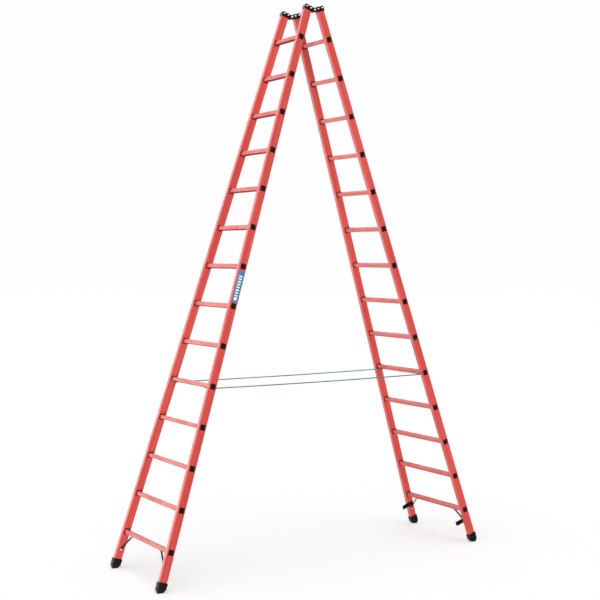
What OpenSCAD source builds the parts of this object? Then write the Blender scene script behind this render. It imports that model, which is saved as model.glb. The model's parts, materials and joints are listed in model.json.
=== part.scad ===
// Double-sided glass-fibre stepladder: two rung ladders hinged at the top,
// held apart by webbing straps and standing on rubber feet.
// X runs across the two halves (left is -X), Y runs along the rungs (near is -Y), Z is up.
// The origin is on the floor, midway between the four feet.

/* [Ladder] */
// Rungs on each half
rung_count = 14; // [11:1:14]
// Lean of each half from upright, in degrees
half_angle = 18; // [16:0.5:19]
// Splay of each stile from the half's centre line, in degrees
flare_angle = 3; // [2:0.25:3.5]
// Width over the stiles at the height of the hinge
top_width = 334; // [324:1:350]
// Distance between rungs, along the stile
rung_pitch = 280; // [270:1:290]
// Distance from the hinge down to the top rung
first_rung = 223; // [205:1:240]
// Distance from the lowest rung down to the floor, along the stile
foot_reach = 268; // [250:1:285]

/* [Stile] */
// Depth of the stile profile, front to back
stile_depth = 58; // [54:1:64]
// Thickness of the stile profile, along the rungs
stile_thickness = 29; // [27:1:32]
// Wall of the hollow stile
stile_wall = 3.2; // [2.6:0.1:4]
// Distance from the hinge axis to the stile's inner edge
stile_offset = 20.5; // [20.5:0.5:24]

/* [Rung] */
// Side of the square rung
rung_size = 30; // [28:1:32]
// Wall of the hollow rung
rung_wall = 2.6; // [2.2:0.1:3.2]
// Depth of the grip grooves
groove_depth = 0.8; // [0.4:0.1:1]
// Side of the square plug head in each rung end
cap_size = 39; // [37:1:42]
// Side of the square collar round the rung, inside each stile
collar_size = 41; // [38:1:44]

/* [Hinge] */
// Radius of the round eye on each leaf
eye_radius = 16; // [14:0.5:16.5]
// Radius of the pivot bolt
pivot_radius = 5; // [4:0.5:6]
// How far the leaf reaches down over the stile, below the pivot
leaf_drop = 22; // [18:1:26]
// How far the leaf's cover rises above the pivot, between its round lobes
leaf_rise = 11; // [10:0.5:13]
// Radius of the round lobe over each leaf bolt
lobe_radius = 15.5; // [14:0.5:16]

/* [Foot] */
// Height of the rubber foot along the stile, above the floor
foot_height = 70; // [60:1:80]
// Rubber outside the stile on its two narrow sides
foot_wall = 3.5; // [3:0.5:6]
// Rubber outside the stile on its two broad sides
foot_side_wall = 4; // [3.5:0.5:6]

/* [Brace and guide] */
// How far along the rung the brace starts, from the stile
brace_reach = 105; // [90:1:120]
// How far below the rung the brace is bolted to the stile
brace_drop = 132; // [125:1:140]
// Width of the flat brace bar
brace_width = 14; // [12:1:20]
// Thickness of the brace and guide bars
bar_thickness = 4; // [3:0.5:5]
// How far the closing guide stands out beyond the stile's inner edge
guide_reach = 60; // [50:1:62]
// Height of the closing guide bar
guide_height = 34; // [24:1:36]

/* [Strap] */
// Width of the webbing
strap_width = 45; // [38:1:45]
// Thickness of the webbing
strap_thickness = 2.5; // [1.5:0.1:2.5]
// Distance of each strap's centre from the middle of the rung
strap_offset = 250; // [235:1:255]

/* [Hidden] */
$fn = 48;
LEFT = -1;
RIGHT = 1;
NEAR = -1;
FAR = 1;
strap_rung = rung_count - 4;
fit = 0.2;
stile_mid = stile_offset + stile_depth / 2;
stile_top = 8;
stile_corner = 4;
rung_corner = 5;
groove_width = 1.6;
groove_spacing = 5.5;
bolt_radius = 4;
bolt_head_radius = 7;
leaf_head_radius = 6.5;
bolt_head_height = 4.5;
nut_radius = 7.5;
nut_height = 6.5;
leaf_skin = 3;
lug_thickness = 9;
lug_play = 0.3;
pivot_play = 0.05;
bore_fit = 0.2;
collar_thickness = 3;
guide_spacer = 2.5;
guide_tail = 50;
guide_drop = 86;
clamp_ear = 6;
clamp_depth = 24;
clamp_plate = 3;
clamp_under = strap_thickness + clamp_plate;
last_rung = first_rung + (rung_count - 1) * rung_pitch;
pivot_z = (last_rung + foot_reach) * cos(half_angle) - stile_mid * sin(half_angle);
stile_length = last_rung + foot_reach - 31;
leaf_outer = top_width / 2 + leaf_drop * tan(flare_angle) + leaf_skin;
leaf_inner = top_width / 2 - stile_thickness - leaf_skin;

// Centre line of one half of a strap, from the middle of the ladder out to the rung: [x, z].
// It hangs a few millimetres lower in the middle than under the rungs.
strap_route = [[0.2, 1296], [220, 1296.5], [440, 1297.5], [660, 1299], [884, 1301]];

SIDES = [[LEFT, "left"], [RIGHT, "right"]];
ENDS = [[NEAR, "near"], [FAR, "far"]];

// Distance from the hinge axis down to a rung's centre, along the half's slope
function rung_drop(i) = first_rung + (i - 1) * rung_pitch;

// Half of the width over the stiles' outer faces, at a distance below the hinge
function outer_y(drop) = top_width / 2 + drop * tan(flare_angle);

// The same for the stiles' inner faces
function inner_y(drop) = outer_y(drop) - stile_thickness / cos(flare_angle);

// A point of the right half, [distance out, distance down its slope], as [x, z] of the whole ladder
function slope_point(out, drop) = [
    drop * sin(half_angle) + out * cos(half_angle),
    pivot_z - drop * cos(half_angle) + out * sin(half_angle)
];

// How far down the slope a line at a distance out meets a height above the floor
function drop_at_height(out, height) = (pivot_z + out * sin(half_angle) - height) / cos(half_angle);

// Children drawn on the right are mirrored for the left half
module at_side(side) {
    if (side == RIGHT)
        children();
    else
        mirror([1, 0, 0]) children();
}

// Frame of one half, from the hinge axis: +X away from the other half, -Z down the stiles
module half(side) {
    at_side(side)
        translate([0, 0, pivot_z])
            rotate([0, -half_angle, 0]) children();
}

// Children drawn at the far end are mirrored for the near end
module at_end(end) {
    if (end == FAR)
        children();
    else
        mirror([0, 1, 0]) children();
}

// Frame of the far stile: origin on its outer face level with the hinge, +Y outward, -Z down it
module along_stile() {
    translate([stile_mid, top_width / 2, 0])
        rotate([flare_angle, 0, 0]) children();
}

module rounded_square(width, height, radius) {
    square([width - 2 * radius, height], center = true);
    square([width, height - 2 * radius], center = true);
    for (x = [-1, 1])
        for (y = [-1, 1])
            translate([x * (width / 2 - radius), y * (height / 2 - radius)])
                circle(radius);
}

// Unit vector to the left of a route's step from point i to the next
function side_vector(points, i) =
    let (step = points[i + 1] - points[i]) [-step[1], step[0]] / norm(step);

// Offset direction at point i, mitred so that both neighbouring steps keep their thickness
function mitre(points, i) =
    let (
        before = side_vector(points, max(i - 1, 0)),
        after = side_vector(points, min(i, len(points) - 2))
    ) (before + after) / (1 + before * after);

// A bar of even thickness that bends through a list of points
module bent_bar(points, thickness) {
    last = len(points) - 1;
    polygon(concat(
        [for (i = [0:last]) points[i] - mitre(points, i) * thickness / 2],
        [for (i = [last:-1:0]) points[i] + mitre(points, i) * thickness / 2]
    ));
}

// Draws a flat shape so that its x runs along +Y and its y along +Z, centred on x = 0
module across_rung(width) {
    rotate([90, 0, 90])
        linear_extrude(height = width, center = true) children();
}

// Draws a flat shape in the plane of the half's slope, with its thickness along Y
module along_rung(length) {
    rotate([90, 0, 0])
        linear_extrude(height = length, center = true) children();
}

// Rod along +Y from one distance to another
module rod_y(from, to, radius, sides = 48) {
    translate([0, from, 0])
        rotate([-90, 0, 0])
            cylinder(h = to - from, r = radius, $fn = sides);
}

// Straight square passages for all the rungs, right across the half
module rung_passages(play) {
    for (i = [1:rung_count])
        translate([stile_mid, 0, -rung_drop(i)])
            along_rung(2 * outer_y(last_rung) + 100)
                rounded_square(rung_size + 2 * play, rung_size + 2 * play, rung_corner);
}

// Solid body of the far stile, from its top down to its lower end
module stile_blank(shrink = 0) {
    along_stile()
        translate([0, -stile_thickness / 2, -stile_length])
            linear_extrude(height = stile_length + stile_top)
                rounded_square(
                    stile_depth - 2 * shrink,
                    stile_thickness - 2 * shrink,
                    stile_corner - shrink / 2
                );
}

// Where the two bolts of a leaf stand, measured out from the pivot
leaf_bolts = [stile_offset + 12, stile_offset + stile_depth - 12];

module leaf_bolt_places() {
    for (x = leaf_bolts)
        translate([x, 0, 0]) children();
}

// Frame of the bolt that holds the lower end of the far brace: +Y goes into the stile
module brace_foot_place() {
    along_stile()
        translate([0, -stile_thickness, -(last_rung + brace_drop) / cos(flare_angle)])
            children();
}

// Frame of the bolt that holds the upper end of the far brace: +Y goes up into the rung
module brace_head_place() {
    translate([stile_mid, inner_y(last_rung) - brace_reach - 14, -(last_rung + rung_size / 2)])
        rotate([90, 0, 0]) children();
}

// Frames of the two bolts that hold the far closing guide: +Y goes into the stile
module guide_bolt_places() {
    along_stile()
        for (x = [-16, 12])
            translate([x, -stile_thickness, -(last_rung + guide_drop) / cos(flare_angle)])
                children();
}

// Frames of the two rivets of the far strap clamp: +Y goes up into the rung
module clamp_rivet_places() {
    for (y = [-1, 1])
        translate([
            stile_mid,
            strap_offset + y * (strap_width + clamp_ear) / 2,
            -(rung_drop(strap_rung) + rung_size / 2)
        ])
            rotate([90, 0, 0]) children();
}

module stile(side, end) {
    color("crimson")
        half(side)
            difference() {
                at_end(end)
                    difference() {
                        stile_blank();
                        along_stile()
                            translate([0, -stile_thickness / 2, -stile_length - 1])
                                linear_extrude(height = stile_length + stile_top + 2)
                                    rounded_square(
                                        stile_depth - 2 * stile_wall,
                                        stile_thickness - 2 * stile_wall,
                                        1.5
                                    );
                        leaf_bolt_places()
                            rod_y(leaf_inner, leaf_outer, bolt_radius + bore_fit);
                        brace_foot_place()
                            rod_y(-1, stile_wall + 2, bolt_radius + bore_fit);
                        if (side == RIGHT)
                            guide_bolt_places()
                                rod_y(-1, stile_wall + 2, bolt_radius + bore_fit);
                    }
                rung_passages(fit);
            }
}

module rung(side, i) {
    color("crimson")
        half(side)
            difference() {
                translate([stile_mid, 0, -rung_drop(i)])
                    along_rung(2 * outer_y(rung_drop(i) - rung_size / 2) - 1)
                        rung_profile();
                if (i == rung_count)
                    for (end = [NEAR, FAR])
                        at_end(end)
                            brace_head_place()
                                rod_y(-1, rung_wall + 2, bolt_radius + bore_fit);
                if (i == strap_rung)
                    for (end = [NEAR, FAR])
                        at_end(end)
                            clamp_rivet_places()
                                rod_y(-1, rung_wall + 2, 2 + bore_fit);
            }
}

// Hollow square with grip grooves along all four faces
module rung_profile() {
    difference() {
        rounded_square(rung_size, rung_size, rung_corner);
        rounded_square(rung_size - 2 * rung_wall, rung_size - 2 * rung_wall, 2);
        for (turn = [0:90:270])
            rotate(turn)
                for (k = [-1:1])
                    translate([k * groove_spacing - groove_width / 2, rung_size / 2 - groove_depth])
                        square([groove_width, groove_depth + 1]);
    }
}

// Plug heads on the stiles' outer faces, with a stem inside each rung
module rung_caps(side) {
    stem = rung_size - 2 * rung_wall - 3;
    color("black")
        half(side)
            for (end = [NEAR, FAR])
                at_end(end)
                    along_stile()
                        for (i = [1:rung_count])
                            translate([0, 0, -rung_drop(i) / cos(flare_angle)])
                                rotate([-90, 0, 0]) {
                                    linear_extrude(height = 2.6)
                                        rounded_square(cap_size, cap_size, 8);
                                    linear_extrude(height = 4)
                                        rounded_square(cap_size - 4, cap_size - 4, 6.5);
                                    translate([0, 0, -14])
                                        linear_extrude(height = 15)
                                            rounded_square(stem, stem, 2);
                                }
}

// Flat collars round the rungs, on the stiles' inner faces
module rung_collars(side) {
    color("black")
        half(side)
            difference() {
                for (end = [NEAR, FAR])
                    at_end(end)
                        along_stile()
                            for (i = [1:rung_count])
                                translate([
                                    0,
                                    -stile_thickness,
                                    -rung_drop(i) / cos(flare_angle) + stile_thickness * tan(flare_angle)
                                ])
                                    rotate([90, 0, 0])
                                        linear_extrude(height = collar_thickness)
                                            rounded_square(collar_size, collar_size, 7);
                rung_passages(0.1);
            }
}

// Cast cap over the stile's end, with a lobe over each bolt and the hinge eye:
// a fork on the left half, a tongue on the right
module hinge_leaf(side, end) {
    middle_y = (leaf_inner + leaf_outer) / 2;
    full = leaf_outer - leaf_inner;
    tongue = full - 2 * (lug_thickness + lug_play);
    color("dimgray")
        half(side)
            at_end(end)
                difference() {
                    union() {
                        translate([stile_mid, middle_y, (leaf_rise - leaf_drop) / 2])
                            along_rung(full)
                                rounded_square(stile_depth + 2 * leaf_skin, leaf_rise + leaf_drop, 4);
                        leaf_bolt_places()
                            translate([0, middle_y, 0])
                                along_rung(full)
                                    circle(lobe_radius);
                        translate([0, middle_y, 0])
                            along_rung(side == LEFT ? full : tongue) {
                                circle(eye_radius);
                                translate([0, -eye_radius + 2])
                                    square([stile_offset + 4, 2 * eye_radius - 8]);
                            }
                    }
                    if (side == LEFT)
                        translate([-eye_radius - 1, leaf_inner + lug_thickness, -eye_radius - 1])
                            cube([
                                eye_radius + 1 + stile_offset - leaf_skin - 0.2,
                                full - 2 * lug_thickness,
                                2 * eye_radius + 2
                            ]);
                    stile_blank();
                    rod_y(leaf_inner - 1, leaf_outer + 1, pivot_radius + pivot_play);
                    leaf_bolt_places()
                        rod_y(leaf_inner - 1, leaf_outer + 1, bolt_radius + bore_fit);
                }
}

// The two bolts on which the halves turn
module pivot_bolts() {
    color("silver")
        translate([0, 0, pivot_z])
            for (end = [NEAR, FAR])
                at_end(end) {
                    rod_y(leaf_inner - 11.5, leaf_outer + 1, pivot_radius);
                    rod_y(leaf_outer, leaf_outer + 2, pivot_radius + 5.5);
                    rod_y(leaf_outer + 2, leaf_outer + 7, pivot_radius + 2.5, 6);
                }
}

module pivot_nuts() {
    color("silver")
        translate([0, 0, pivot_z])
            for (end = [NEAR, FAR])
                at_end(end)
                    difference() {
                        union() {
                            rod_y(leaf_inner - 2, leaf_inner, pivot_radius + 5.5);
                            rod_y(leaf_inner - 10, leaf_inner - 2, pivot_radius + 4, 6);
                        }
                        rod_y(leaf_inner - 12, leaf_inner + 1, pivot_radius + pivot_play);
                    }
}

// Bolt that passes a bar on a wall: head outside, stem inside. +Y goes into the wall
module wall_bolt(bar) {
    rod_y(-bar - bolt_head_height, -bar, bolt_head_radius);
    rod_y(-bar - 1, stile_wall + 4, bolt_radius);
}

// Every bolt and rivet of one half, each with its nut where it has one
module fixing_bolts(side) {
    color("silver")
        half(side)
            for (end = [NEAR, FAR])
                at_end(end) {
                    leaf_bolt_places() {
                        rod_y(leaf_inner - 9, leaf_outer + 1, bolt_radius);
                        rod_y(leaf_outer, leaf_outer + bolt_head_height, leaf_head_radius);
                        rod_y(leaf_inner - nut_height, leaf_inner, nut_radius, 6);
                    }
                    brace_foot_place() wall_bolt(bar_thickness + 0.1);
                    brace_head_place() wall_bolt(bar_thickness + 0.1);
                    if (side == RIGHT)
                        guide_bolt_places() wall_bolt(guide_spacer + bar_thickness + 0.1);
                    clamp_rivet_places() {
                        rod_y(-clamp_under - 2.6, -clamp_under - 0.1, 3.5);
                        rod_y(-clamp_under - 1, rung_wall + 3, 2);
                    }
                }
}

// Rubber boot round the stile's lower end, with a level sole
module foot(side, end) {
    inner = stile_offset - foot_wall;
    outer = stile_offset + stile_depth + foot_wall;
    top = drop_at_height(stile_mid, 0) - foot_height;
    width = stile_thickness + 2 * foot_side_wall;
    middle_y = outer_y(top + foot_height / 2) - stile_thickness / 2;
    outline = [
        slope_point(inner, top),
        slope_point(inner, drop_at_height(inner, 17)),
        [slope_point(inner, drop_at_height(inner, 0))[0] + 13, 0],
        [slope_point(outer, drop_at_height(outer, 0))[0] - 17, 0],
        slope_point(outer, drop_at_height(outer, 24)),
        slope_point(outer, top)
    ];
    color("black")
        difference() {
            at_side(side)
                at_end(end)
                    translate([0, middle_y, 0])
                        along_rung(width)
                            polygon(outline);
            half(side)
                at_end(end)
                    stile_blank();
        }
}

// Flat bar from under the lowest rung to the stile, with a flattened end at each
module brace(side, end) {
    rung_face = last_rung + rung_size / 2 + bar_thickness / 2 + 0.05;
    stile_gap = bar_thickness / 2 + 0.05;
    foot_top = last_rung + brace_drop - 14;
    foot_end = last_rung + brace_drop + 14;
    head = inner_y(last_rung) - brace_reach;
    route = [
        [head - 28, -rung_face],
        [head, -rung_face],
        [inner_y(foot_top) - stile_gap, -foot_top],
        [inner_y(foot_end) - stile_gap, -foot_end]
    ];
    color("gray")
        half(side)
            at_end(end)
                difference() {
                    translate([stile_mid, 0, 0])
                        across_rung(brace_width)
                            bent_bar(route, bar_thickness);
                    brace_foot_place() rod_y(-20, 10, bolt_radius + bore_fit);
                    brace_head_place() rod_y(-10, 10, bolt_radius + bore_fit);
                }
}

// Bar that slides in beside the other half's stile as the ladder closes, and keeps the halves in line
module closing_guide(end) {
    tip = -stile_depth / 2 - guide_reach;
    tail = -stile_depth / 2 + guide_tail;
    face = -stile_thickness - guide_spacer - bar_thickness / 2;
    color("black")
        half(RIGHT)
            at_end(end)
                difference() {
                    along_stile()
                        translate([0, 0, -(last_rung + guide_drop) / cos(flare_angle)])
                            linear_extrude(height = guide_height, center = true) {
                                bent_bar([[tip, face - 5], [tip + 16, face], [tail, face]], bar_thickness);
                                translate([-stile_depth / 2 + 5, face])
                                    square([guide_tail - 5, guide_spacer + bar_thickness / 2]);
                            }
                    guide_bolt_places() rod_y(-20, 10, bolt_radius + bore_fit);
                }
}

// Saddle plates that hold the strap ends under a rung
module strap_clamps(side) {
    color("dimgray")
        half(side)
            for (end = [NEAR, FAR])
                at_end(end)
                    difference() {
                        translate([stile_mid, strap_offset, -(rung_drop(strap_rung) + rung_size / 2)])
                            across_rung(clamp_depth)
                                difference() {
                                    translate([
                                        -strap_width / 2 - clamp_ear,
                                        -strap_thickness - clamp_plate - 0.1
                                    ])
                                        square([strap_width + 2 * clamp_ear, strap_thickness + clamp_plate]);
                                    translate([-strap_width / 2 - 0.3, -strap_thickness - 0.1])
                                        square([strap_width + 0.6, strap_thickness + 1]);
                                }
                        clamp_rivet_places() rod_y(-12, 5, 2 + bore_fit);
                    }
}

// Half of a webbing strap, from the ladder's middle out to a rung
module strap_run(side, end) {
    route = [for (p = strap_route) [side * p[0], p[1]]];
    color("teal")
        at_end(end)
            translate([0, strap_offset, 0])
                along_rung(strap_width)
                    bent_bar(route, strap_thickness);
}

for (s = SIDES) {
    for (e = ENDS) {
        stile(s[0], e[0]);
        hinge_leaf(s[0], e[0]);
        foot(s[0], e[0]);
        brace(s[0], e[0]);
        strap_run(s[0], e[0]);
    }
    for (i = [1:rung_count])
        rung(s[0], i);
    rung_caps(s[0]);
    rung_collars(s[0]);
    fixing_bolts(s[0]);
    strap_clamps(s[0]);
}
for (e = ENDS)
    closing_guide(e[0]);
pivot_bolts();
pivot_nuts();
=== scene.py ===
"""Visual model of a double-sided glass-fibre stepladder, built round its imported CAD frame.

Two rung ladders are hinged at the top, held apart by webbing straps and stand on rubber boots.
X runs across the two halves, Y along the rungs and Z up. Everything is in metres.
"""

import json
import logging
import math
from collections.abc import Sequence
from dataclasses import dataclass, field
from enum import Enum

import bmesh
import bpy
from mathutils import Euler, Matrix, Vector


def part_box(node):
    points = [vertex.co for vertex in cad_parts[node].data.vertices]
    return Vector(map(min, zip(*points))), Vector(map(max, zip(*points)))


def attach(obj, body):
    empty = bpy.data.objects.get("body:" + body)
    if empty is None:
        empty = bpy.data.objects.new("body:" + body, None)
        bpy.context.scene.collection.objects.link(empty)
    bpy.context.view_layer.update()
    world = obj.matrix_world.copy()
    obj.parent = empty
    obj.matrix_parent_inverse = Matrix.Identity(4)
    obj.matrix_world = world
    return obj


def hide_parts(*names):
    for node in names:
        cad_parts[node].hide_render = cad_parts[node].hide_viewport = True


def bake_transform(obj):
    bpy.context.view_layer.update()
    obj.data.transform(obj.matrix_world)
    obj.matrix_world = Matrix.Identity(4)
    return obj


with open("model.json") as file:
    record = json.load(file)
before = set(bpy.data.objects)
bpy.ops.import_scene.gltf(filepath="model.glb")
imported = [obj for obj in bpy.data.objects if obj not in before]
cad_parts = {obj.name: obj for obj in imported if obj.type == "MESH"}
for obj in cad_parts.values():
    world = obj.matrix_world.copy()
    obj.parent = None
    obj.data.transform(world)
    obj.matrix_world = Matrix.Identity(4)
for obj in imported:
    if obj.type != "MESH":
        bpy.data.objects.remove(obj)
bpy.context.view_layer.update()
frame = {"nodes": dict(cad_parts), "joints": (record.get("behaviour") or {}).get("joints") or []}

log = logging.getLogger("stepladder")

MM = 0.001
SMOOTH_ANGLE = math.radians(34)
Ring = list[Vector]
Output = bpy.types.NodeSocket
Colour = tuple[float, float, float, float]


class Side(Enum):
    """The two halves of the ladder, seen from the near end."""

    LEFT = "left"
    RIGHT = "right"

    @property
    def sign(self) -> int:
        """-1 for the half towards -X, 1 for the other."""
        return -1 if self is Side.LEFT else 1


class End(Enum):
    """The two ends of every rung."""

    NEAR = "near"
    FAR = "far"

    @property
    def sign(self) -> int:
        """-1 for the end towards -Y, 1 for the other."""
        return -1 if self is End.NEAR else 1


def linear(hex_colour: str) -> Colour:
    """Turns an sRGB hex colour into the linear colour that a shader takes.

    Args:
        hex_colour: Six hex digits, such as "C8322B".

    Returns:
        Linear red, green, blue and an alpha of 1.
    """
    parts = [int(hex_colour[i:i + 2], 16) / 255 for i in (0, 2, 4)]
    red, green, blue = (c / 12.92 if c <= 0.04045 else ((c + 0.055) / 1.055) ** 2.4 for c in parts)
    return red, green, blue, 1.0


def add_node(
    tree: bpy.types.NodeTree, kind: str, inputs: dict[str | int, object] | None = None,
    **settings: object,
) -> bpy.types.Node:
    """Adds one shader node.

    Args:
        tree: The material's or world's node tree.
        kind: The node's type name, such as "ShaderNodeTexNoise".
        inputs: Socket name or index, to a value or to the output that feeds it.
        settings: Properties of the node itself.

    Returns:
        The new node.
    """
    node = tree.nodes.new(kind)
    for name, value in settings.items():
        setattr(node, name, value)
    for socket, value in (inputs or {}).items():
        if isinstance(value, bpy.types.NodeSocket):
            tree.links.new(value, node.inputs[socket])
        else:
            node.inputs[socket].default_value = value
    return node


# --------------------------------------------------------------------------- finishes


class Surface:
    """A material in the making: its node tree, and the patterns that feed its shader."""

    def __init__(self, name: str, roughness: float, ior: float = 1.5, metallic: float = 0.0) -> None:
        """Starts a material with its shader.

        Args:
            name: The material's name.
            roughness: How much the surface scatters its gloss.
            ior: Refractive index, left alone on metal.
            metallic: 1 for bare metal.
        """
        self.material = bpy.data.materials.new(name)
        self.material.use_nodes = True
        self.tree = self.material.node_tree
        self.tree.nodes.clear()
        self.roughness = roughness
        look = {"Roughness": roughness, "Metallic": metallic}
        self.shader = add_node(self.tree, "ShaderNodeBsdfPrincipled", look)
        if not metallic:
            self.shader.inputs["IOR"].default_value = ior
        add_node(self.tree, "ShaderNodeOutputMaterial", {"Surface": self.shader.outputs["BSDF"]})

    def place(self, stretch: Sequence[float] = (1, 1, 1), turn: Sequence[float] = (0, 0, 0)) -> Output:
        """Coordinates of the piece itself, turned and stretched.

        Args:
            stretch: Scale along each turned axis.
            turn: Turn of the axes, in radians.

        Returns:
            The output that carries the coordinates.
        """
        where = add_node(self.tree, "ShaderNodeTexCoord").outputs["Object"]
        turned = add_node(self.tree, "ShaderNodeMapping", {"Vector": where, "Rotation": turn})
        scaled = {"Vector": turned.outputs[0], "Scale": stretch}
        return add_node(self.tree, "ShaderNodeMapping", scaled).outputs[0]

    def noise(
        self, where: Output, scale: float, detail: float = 3.0, roughness: float = 0.55
    ) -> Output:
        """Cloudy pattern.

        Args:
            where: Output with the coordinates.
            scale: Patches per metre, before any stretch.
            detail: Number of finer layers.
            roughness: Strength of the finer layers.

        Returns:
            The pattern's value output.
        """
        inputs = {"Vector": where, "Scale": scale, "Detail": detail, "Roughness": roughness}
        return add_node(self.tree, "ShaderNodeTexNoise", inputs).outputs[0]

    def span(
        self, amount: Output, low: float, high: float, start: float = 0.3, end: float = 0.7
    ) -> Output:
        """Spreads a pattern over a range of values.

        Args:
            amount: The pattern's output.
            low: Value at start.
            high: Value at end.
            start: Pattern value that gives low.
            end: Pattern value that gives high.

        Returns:
            The spread value's output.
        """
        inputs = {"Value": amount, "From Min": start, "From Max": end, "To Min": low, "To Max": high}
        return add_node(self.tree, "ShaderNodeMapRange", inputs).outputs["Result"]

    def shades(self, amount: Output, stops: Sequence[tuple[float, str]]) -> Output:
        """Colours from a ramp.

        Args:
            amount: The output that runs along the ramp.
            stops: Positions and their sRGB hex colours: the two ends, then any between them.

        Returns:
            The ramp's colour output.
        """
        ramp = add_node(self.tree, "ShaderNodeValToRGB", {"Fac": amount})
        for i, (position, colour) in enumerate(stops):
            stop = ramp.color_ramp.elements[i] if i < 2 else ramp.color_ramp.elements.new(position)
            stop.position, stop.color = position, linear(colour)
        return ramp.outputs["Color"]

    def mix(self, share: Output, first: Output | str, second: str) -> Output:
        """Blends two colours.

        Args:
            share: Share of the second.
            first: First colour, as an output or in sRGB hex.
            second: Second colour, in sRGB hex.

        Returns:
            The blended colour's output.
        """
        # in colour mode the factor and the two colours are sockets 0, 6 and 7, and the result is 2
        inputs = {0: share, 6: linear(first) if isinstance(first, str) else first, 7: linear(second)}
        return add_node(self.tree, "ShaderNodeMix", inputs, data_type="RGBA").outputs[2]

    def multiply(self, first: Output, second: Output) -> Output:
        """Product of two patterns."""
        product = add_node(self.tree, "ShaderNodeMath", {0: first, 1: second}, operation="MULTIPLY")
        return product.outputs[0]

    def colour(self, tint: Output) -> None:
        """Gives the surface its colour."""
        self.tree.links.new(tint, self.shader.inputs["Base Color"])

    def rough(
        self, pattern: Output, below: float, above: float, start: float = 0.3, end: float = 0.7
    ) -> None:
        """Varies the roughness with a pattern.

        Args:
            pattern: The pattern's output.
            below: How far under the typical roughness it starts.
            above: How far over it ends.
            start: Pattern value at the lower end.
            end: Pattern value at the upper end.
        """
        spread = self.span(pattern, self.roughness - below, self.roughness + above, start, end)
        self.tree.links.new(spread, self.shader.inputs["Roughness"])

    def relief(self, *heights: tuple[Output, float]) -> bpy.types.Material:
        """Gives the surface fine relief, and hands over the finished material.

        Args:
            heights: Pairs of a height output and its depth in millimetres, coarse first.

        Returns:
            The material.
        """
        normal = None
        for height, depth in heights:
            inputs = {"Height": height, "Distance": depth * MM, "Strength": 1.0}
            if normal is not None:
                inputs["Normal"] = normal
            normal = add_node(self.tree, "ShaderNodeBump", inputs).outputs["Normal"]
        self.tree.links.new(normal, self.shader.inputs["Normal"])
        return self.material


@dataclass(frozen=True)
class PultrudedGlassFibre:
    """Glass-fibre polyester profile, pulled through a die.

    The die leaves long faint streaks where fibre bundles lie near the skin, and a satin gloss
    with a fine cloth-like veil. Hands, boots and dust dull it in patches.
    """

    name: str
    turn: tuple[float, float, float] = (0.0, 0.0, 0.0)
    along_y: bool = False
    deep: str = "BA3E38"
    body: str = "C5463F"
    pale: str = "CD4F48"
    scuffed: str = "D07A73"
    roughness: float = 0.42
    scuffing: float = 0.12

    def material(self) -> bpy.types.Material:
        """Builds the material."""
        surface = Surface(self.name, self.roughness, ior=1.53)
        # fibre bundles are 2 to 3 mm apart and run for metres
        run = surface.place((1, 0.02, 1) if self.along_y else (1, 1, 0.02), self.turn)
        streaks = surface.noise(run, 380, 3, 0.6)
        bands = surface.noise(run, 70, 2, 0.5)
        # the veil's threads are 0.3 mm thick, drawn at 0.8 mm so that they show
        skin = surface.place(turn=self.turn)
        veil = surface.noise(skin, 1250, 2, 0.5)
        patches = surface.noise(skin, 6, 5, 0.62)
        tint = surface.shades(bands, [(0.32, self.deep), (0.66, self.pale), (0.5, self.body)])
        thread = surface.mix(surface.span(streaks, 0.0, 0.22, 0.5, 0.72), tint, self.pale)
        wear = surface.span(surface.noise(skin, 42, 6, 0.7), 0.0, self.scuffing, 0.56, 0.72)
        surface.colour(surface.mix(wear, thread, self.scuffed))
        surface.rough(patches, 0.07, 0.1)
        return surface.relief((streaks, 0.05), (veil, 0.04))


@dataclass(frozen=True)
class MouldedNylon:
    """Glass-filled black nylon, injection moulded: a dull, finely spark-eroded skin."""

    name: str
    base: str = "040404"
    rubbed: str = "0B0B0C"
    roughness: float = 0.5

    def material(self) -> bpy.types.Material:
        """Builds the material."""
        surface = Surface(self.name, self.roughness, ior=1.53)
        surface.shader.inputs["Specular IOR Level"].default_value = 0.3
        skin = surface.place()
        patches = surface.noise(skin, 60, 4, 0.6)
        surface.colour(surface.shades(patches, [(0.38, self.base), (0.72, self.rubbed)]))
        surface.rough(patches, 0.06, 0.12)
        return surface.relief((surface.noise(skin, 1600, 2, 0.6), 0.05))


@dataclass(frozen=True)
class PowderCoat:
    """Black powder coat baked on a casting or flat steel: satin, with a slight orange peel."""

    name: str
    base: str = "050505"
    chipped: str = "1C1C1D"
    roughness: float = 0.4

    def material(self) -> bpy.types.Material:
        """Builds the material."""
        surface = Surface(self.name, self.roughness, ior=1.5)
        surface.shader.inputs["Specular IOR Level"].default_value = 0.35
        skin = surface.place()
        peel = surface.noise(skin, 520, 2, 0.5)
        wear = surface.span(surface.noise(skin, 260, 6, 0.75), 0.0, 0.7, 0.66, 0.72)
        surface.colour(surface.mix(wear, self.base, self.chipped))
        surface.rough(peel, 0.05, 0.08)
        return surface.relief((peel, 0.06))


@dataclass(frozen=True)
class ZincPlate:
    """Bright zinc-plated steel, turned and tumbled: pale, slightly warm, with soft fine scratches."""

    name: str
    base: str = "EDE9DC"
    dull: str = "CBC7B8"
    roughness: float = 0.34

    def material(self) -> bpy.types.Material:
        """Builds the material."""
        surface = Surface(self.name, self.roughness, metallic=1.0)
        cloud = surface.noise(surface.place(), 240, 4, 0.6)
        scratches = surface.noise(surface.place((1, 1, 0.08), (0.3, 0.5, 0.2)), 2600, 2, 0.6)
        surface.colour(surface.shades(cloud, [(0.36, self.dull), (0.62, self.base)]))
        # the bright patches are the smooth ones
        surface.rough(cloud, -0.14, -0.06)
        return surface.relief((scratches, 0.02))


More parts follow.
